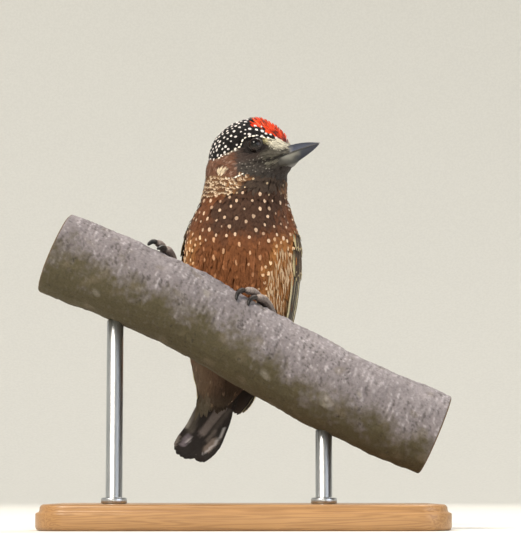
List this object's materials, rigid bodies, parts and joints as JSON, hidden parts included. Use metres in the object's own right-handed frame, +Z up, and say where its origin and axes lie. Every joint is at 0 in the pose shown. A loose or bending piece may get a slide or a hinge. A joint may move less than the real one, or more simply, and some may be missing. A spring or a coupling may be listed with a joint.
{
  "type": "spotted piculet, a small woodpecker",
  "caption": "Life-size still model of a male spotted piculet, a small woodpecker, gripping a short sloping branch on a plain display stand with two rods.",
  "frame": {"origin": "centre of the underside of the stand's base", "axes": "+Z up; the bird's belly faces -Y, turned a little to -X; its left side is +X and its head is turned to +X; the branch runs along X, higher at -X"},
  "size_m": [0.1, 0.062, 0.1025],
  "materials": {
    "cap_feathers": "soft black feathers with white dots and a red forecrown",
    "body_feathers": "soft rufous-brown feathers with pale spots",
    "wing_feathers": "brown flight feathers with pale edges",
    "tail_feathers": "blackish stiff feathers with pale patches",
    "bill_horn": "blue-grey horn, paler at the base below",
    "eye": "wet dark brown",
    "leg_skin": "grey scaled skin",
    "claw_horn": "dark grey horn",
    "bark": "grey bark with fine cracks and knots",
    "base_wood": "satin varnished light wood",
    "rod_steel": "brushed"
  },
  "bodies": {
    "root": {"head": "cap_feathers", "neck": "body_feathers", "trunk": "body_feathers", "tail": "tail_feathers", "wing_left": "wing_feathers", "wing_right": "wing_feathers", "thigh_left": "body_feathers", "thigh_right": "body_feathers", "bill_upper": "bill_horn", "bill_lower": "bill_horn", "eye_left": "eye", "eye_right": "eye", "tarsus_left": "leg_skin", "tarsus_right": "leg_skin", "toe_1_left": "leg_skin", "claw_1_left": "claw_horn", "toe_2_left": "leg_skin", "claw_2_left": "claw_horn", "toe_3_left": "leg_skin", "claw_3_left": "claw_horn", "toe_4_left": "leg_skin", "claw_4_left": "claw_horn", "toe_1_right": "leg_skin", "claw_1_right": "claw_horn", "toe_2_right": "leg_skin", "claw_2_right": "claw_horn", "toe_3_right": "leg_skin", "claw_3_right": "claw_horn", "toe_4_right": "leg_skin", "claw_4_right": "claw_horn", "perch": "bark", "stand_base": "base_wood", "stand_rod_1": "rod_steel", "stand_rod_2": "rod_steel"}
  },
  "joints": []
}
